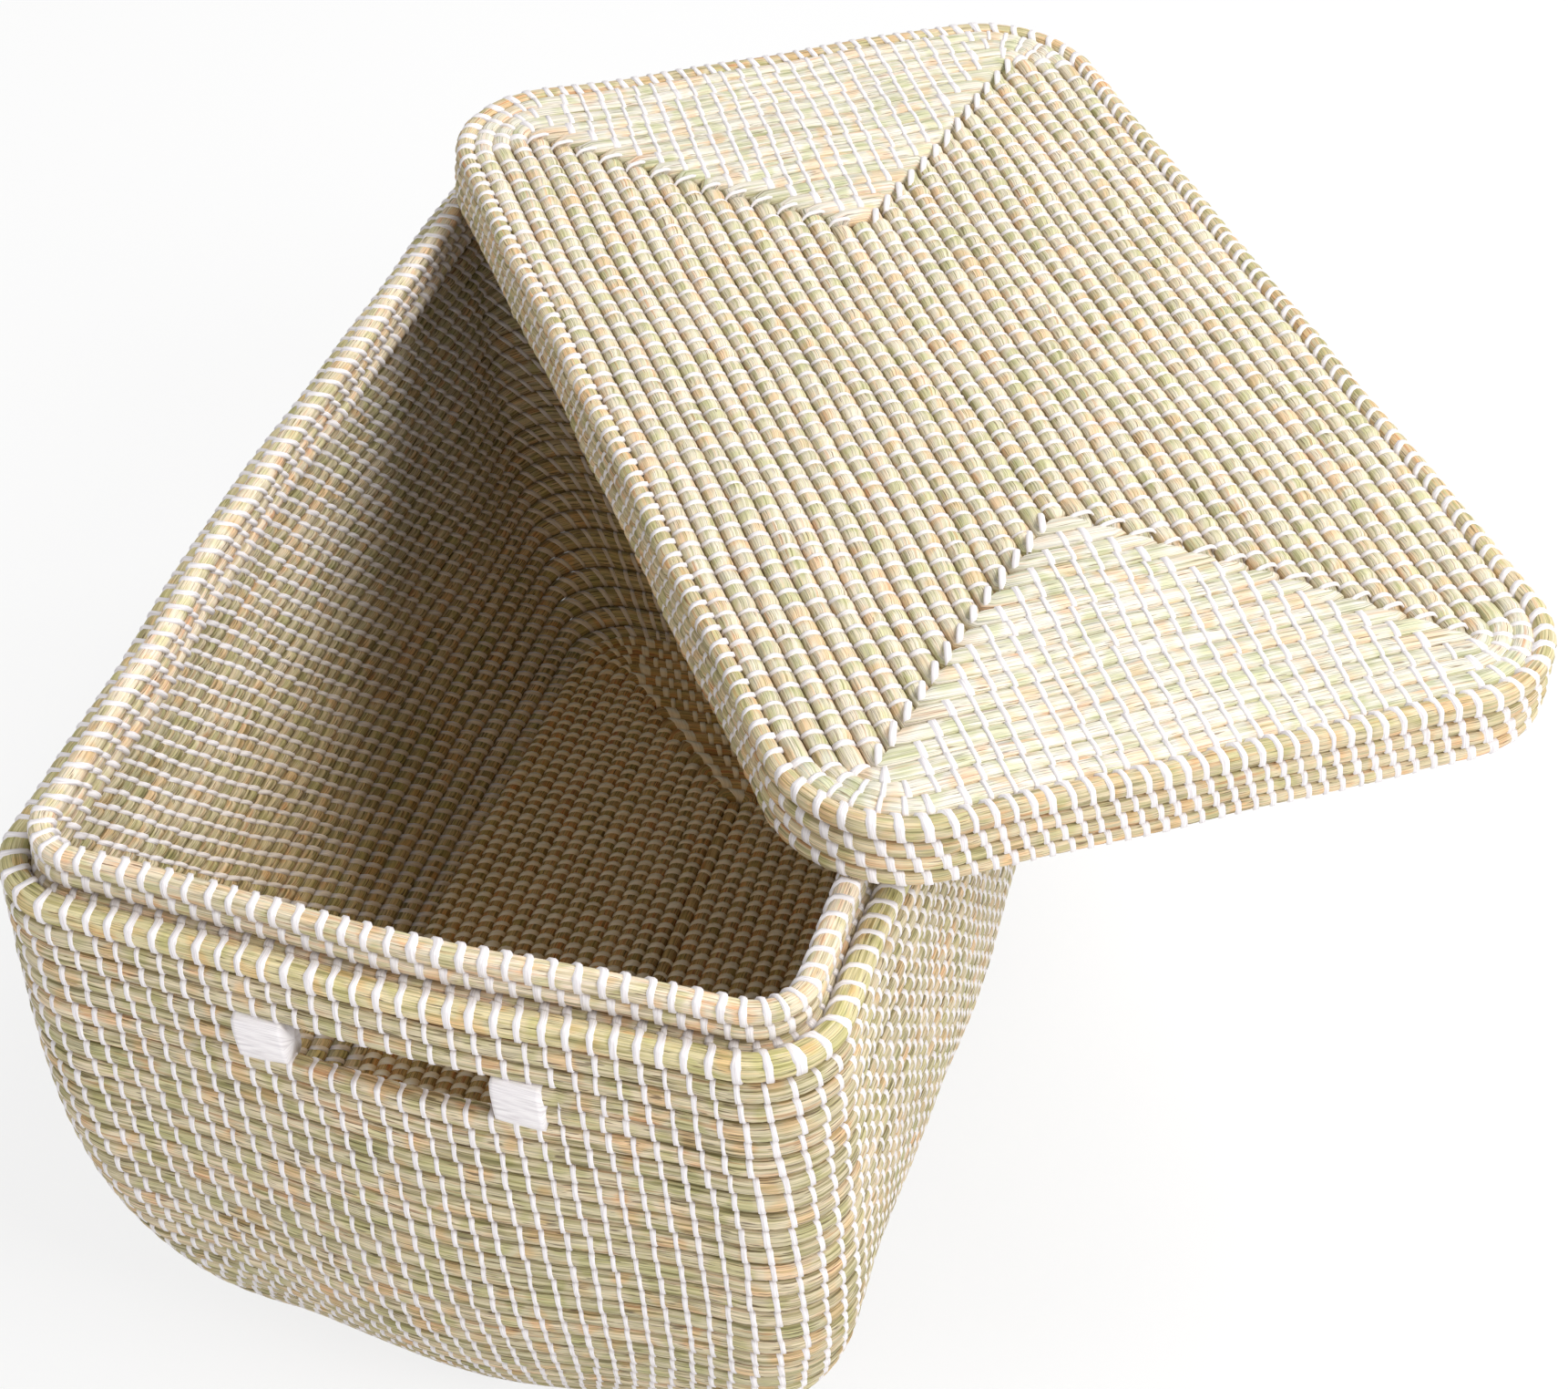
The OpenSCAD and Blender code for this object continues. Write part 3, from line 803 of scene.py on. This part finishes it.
# The lid's loops are marked for painted sheen: their ends are painted paler, as a highlight.
lid_facts = dict(turn=lid_turn, middle=lid_middle, face=math.pi / 2, pinch=(0.66, 0.08), square=0.5,
                 domed=1.0, nip=0.3, sink=1.0, proud=0.0006, strip=(0.0023, 0.0029), ride=0.42,
                 painted_sheen=True)
lid_finish = grass_finish(
    "lid_grass",
    [(0.28, "C4BF98"), (0.40, "E2DBBE"), (0.52, "F4ECDA"), (0.62, "F4E6D0"), (0.74, "E8C2A0")],
    "7A6242", 0.66, [0.88, 0.88, 0.80, 1], [1.04, 1.02, 0.99, 1])
lid_coils = []
for k in range(1, lid_loops + 1):
    lid_coils.append(flat_coil(k, rounded_lid_loops, lid_a - lid_edge, lid_b - lid_edge, lid_pitch,
                               lid_top_z, lid_t, sewing_pitch, 1.5, 1.06, **lid_facts))
for k, coil in enumerate(lid_coils, start=1):
    piece(f"lid_bundle_{k:02d}", [bundle_mesh(coil)], lid_finish, "lid",
          [f"lid_loop_{k:02d}"])
lid_bar = ((*lid_middle, lid_top_z), 2 * (lid_b - lid_edge - lid_loops * lid_pitch),
           2 * (lid_a - lid_edge - lid_loops * lid_pitch), lid_t, lid_turn)
piece("lid_ridge_bundle", [bar_mesh(*lid_bar, 5.3)], lid_finish, "lid", ["lid_ridge"])


dash_thick, dash_dip = 0.0018, 0.0030


def lid_bands(coil):
    """The bands of a loop of the lid, without those in the corners of a mitred one."""
    s = coil["places"][:-1] % (loop_length(coil) / 2)
    arc = math.pi / 2 * coil["r"]
    side, half = coil["b"] - coil["r"], loop_length(coil) / 2
    in_corner = ((s > side) & (s < side + arc)) | ((s > half - side - arc) & (s < half - side))
    return strip_mesh(coil, np.flatnonzero(~(in_corner & coil["mitred"])))


def dash_mesh(place, angle, length, width):
    """Small flat bands, one at each place: nine rings of eight points along a low arch whose ends dip
    into the grass. Their lengths and angles vary a little."""
    rows, cols = 9, 8
    count = len(place)
    t = np.linspace(-1, 1, rows)
    v = np.linspace(0, 2 * math.pi, cols, endpoint=False)
    n, tt, vv = np.meshgrid(np.arange(count), t, v, indexing="ij")
    along = tt * length / 2 * rng.normal(1, 0.08, count)[n]
    out = np.cos(vv) * width / 2 * (1 - 0.25 * tt ** 4)
    up = dash_thick / 2 * np.sin(vv) - dash_dip * np.abs(tt) ** 4
    turn = angle + rng.normal(0, 0.06, count)[n]
    p = hand_made(np.stack([*rotated(along, out, turn), up], axis=-1) + place[n])
    faces, steps = grid_faces(rows, cols, False, True)
    faces = (faces[None] + (np.arange(count) * rows * cols)[:, None, None]).reshape(-1, 4)
    shade = np.full(steps.shape[:-1], open_shade)
    uv = np.stack([steps[..., 1] / cols * 0.008, steps[..., 0] / rows * 0.013, shade], axis=-1)
    shifts = np.repeat(np.arange(count), (rows - 1) * cols)[:, None, None] * np.array([0.3, 0.3, 0.0])
    return p.reshape(-1, 3), faces, np.tile(uv, (count, 1, 1)) + shifts


piece("lid_sewing_outer", [lid_bands(coil) for coil in lid_coils[:6]], white_strip, "lid")
bands = [lid_bands(coil) for coil in lid_coils[6:]]
bands.append(bar_mesh(*lid_bar, 9.1, sewing=True))
piece("lid_sewing_inner", bands, white_strip, "lid")
# A stitch sits on the elbow of each sharp loop: this far inside its side, past the side's end and
# below the lid's top. Two opposite mitres have long wide ones across them, the others slim ones
# along them.
dash_in, dash_past, dash_down = 0.0006, 0.0008, 0.0002
dashes = []
for side_x, side_y in ((1, 1), (-1, 1), (-1, -1), (1, -1)):
    angle, length, width = (69.5, 0.0135, 0.0032) if side_x == side_y else (8.0, 0.0130, 0.0022)
    places = []
    for coil in lid_coils[rounded_lid_loops:]:
        out, along = coil["a"] - dash_in, coil["b"] - coil["r"] + dash_past
        x, y = rotated(side_x * out, side_y * along, lid_turn)
        places.append((lid_middle[0] + x, lid_middle[1] + y, lid_base + lid_h - dash_down))
    dashes.append(dash_mesh(np.array(places), lid_turn + math.radians(angle), length, width))
piece("lid_mitre_sewing", dashes, white_strip, "lid")

# ---- Lid's edge and skirt -----------------------------------------------------------------
# One coil goes round the lid's edge and three more hang below it as a skirt, sewn like the
# wall. Their corners are rounder than the basket's.
edge_r = 0.0580
edge_cells = (54, 28, 8)
edge_stagger = 0.37
skirt_pitch = 0.0074
skirt_w = 0.0087
skirt_finish = grass_finish(
    "skirt_grass",
    [(0.30, "A89F7A"), (0.42, "D2C5A0"), (0.52, "E8DABC"), (0.62, "E4C8A4"), (0.74, "D09C70")],
    "6B5238", 0.65, [0.86, 0.86, 0.78, 1], [1.04, 1.02, 0.98, 1])
edge_facts = dict(turn=lid_turn, middle=lid_middle, pinch=(0.34, 0.22), square=0.8, proud=0.0007,
                  slant=0.2, helix=True, domed=0.8, strip=(0.0035, 0.0042))
edge_coils = []
for name, z, w, h in (("lid_edge_coil", lid_top_z, lid_edge, lid_t),
                      ("lid_skirt_coil_1", lid_base + 2.5 * skirt_pitch, skirt_w, 0.0078),
                      ("lid_skirt_coil_2", lid_base + 1.5 * skirt_pitch, skirt_w, 0.0078),
                      ("lid_skirt_coil_3", lid_base + 0.5 * skirt_pitch, skirt_w, 0.0076)):
    coil = make_coil(lid_a - w / 2, lid_b - w / 2, edge_r - w / 2, z, w, h,
                     open_top=name == "lid_edge_coil", **edge_facts)
    edge_coils.append(sewn(coil, evenly(coil, edge_cells, edge_stagger * len(edge_coils))))
    piece(name.replace("coil", "bundle"), [bundle_mesh(coil)], skirt_finish, "lid", [name])
piece("skirt_sewing", [strip_mesh(coil) for coil in edge_coils], white_strip, "lid")

# ---- Floor of the studio ------------------------------------------------------------------
# A plain pale floor. It glows a little where the camera sees it, so that it fades into the
# white beyond it.
ground = bpy.data.meshes.new("ground")
ground.from_pydata([(-8, -8, 0), (8, -8, 0), (8, 8, 0), (-8, 8, 0)], [], [(0, 1, 2, 3)])
ground_object = bpy.data.objects.new("ground", ground)
bpy.context.scene.collection.objects.link(ground_object)
paper = bpy.data.materials.new("studio_paper")
paper.use_nodes = True
nodes = paper.node_tree.nodes
nodes.clear()
matt = nodes.new("ShaderNodeBsdfDiffuse")
matt.inputs["Color"].default_value = (0.86, 0.86, 0.86, 1)
glow = nodes.new("ShaderNodeEmission")
glow.inputs["Color"].default_value = (1.0, 1.0, 1.0, 1)
glow.inputs["Strength"].default_value = 1.0
glow_seen = 0.8


def shown_to_camera(tree, usual, shown, part, surface):
    """Shows the camera one shader in part, and all other rays the usual one."""
    rays = tree.nodes.new("ShaderNodeLightPath")
    amount = tree.nodes.new("ShaderNodeMath")
    amount.operation = "MULTIPLY"
    amount.inputs[1].default_value = part
    blend = tree.nodes.new("ShaderNodeMixShader")
    tree.links.new(rays.outputs["Is Camera Ray"], amount.inputs[0])
    tree.links.new(amount.outputs[0], blend.inputs["Fac"])
    tree.links.new(usual.outputs[0], blend.inputs[1])
    tree.links.new(shown.outputs[0], blend.inputs[2])
    tree.links.new(blend.outputs[0], surface.inputs["Surface"])


shown_to_camera(paper.node_tree, matt, glow, glow_seen, nodes.new("ShaderNodeOutputMaterial"))
ground.materials.append(paper)

# ---- Sky and lamps ------------------------------------------------------------------------
# The sky is white to the camera and dimmer as a light. A soft lamp stands on the right, a
# weaker one in front on the left, and one hangs high behind the basket.
world = bpy.data.worlds.new("sky")
bpy.context.scene.world = world
world.use_nodes = True
nodes = world.node_tree.nodes
lighting = nodes["Background"]
lighting.inputs["Color"].default_value = (1.0, 1.0, 1.0, 1)
lighting.inputs["Strength"].default_value = 0.42
seen = nodes.new("ShaderNodeBackground")
seen.inputs["Color"].default_value = (1.0, 1.0, 1.0, 1)
shown_to_camera(world.node_tree, lighting, seen, 1.0, nodes["World Output"])


def lamp(name, place, target, size, power, colour):
    """A square soft lamp that faces its target."""
    light = bpy.data.lights.new(name, "AREA")
    light.size = size
    light.energy = power
    light.color = colour
    made = bpy.data.objects.new(name, light)
    made.location = place
    made.rotation_euler = (Vector(target) - Vector(place)).to_track_quat("-Z", "Y").to_euler()
    bpy.context.scene.collection.objects.link(made)


lamp("key", (1.9, -0.6, 1.75), (0.0, 0.0, 0.1), size=1.2, power=36, colour=(1.0, 0.99, 0.98))
lamp("fill", (-0.3, -2.4, 1.2), (0.0, 0.0, 0.1), size=1.6, power=16, colour=(0.99, 0.99, 1.0))
lamp("top", (1.0, 1.3, 2.5), (0.0, 0.1, 0.1), size=1.2, power=48, colour=(1.0, 0.995, 0.99))

# ---- End ----------------------------------------------------------------------------------
# The colours are shown as they are.
bpy.context.scene.view_settings.view_transform = "Standard"
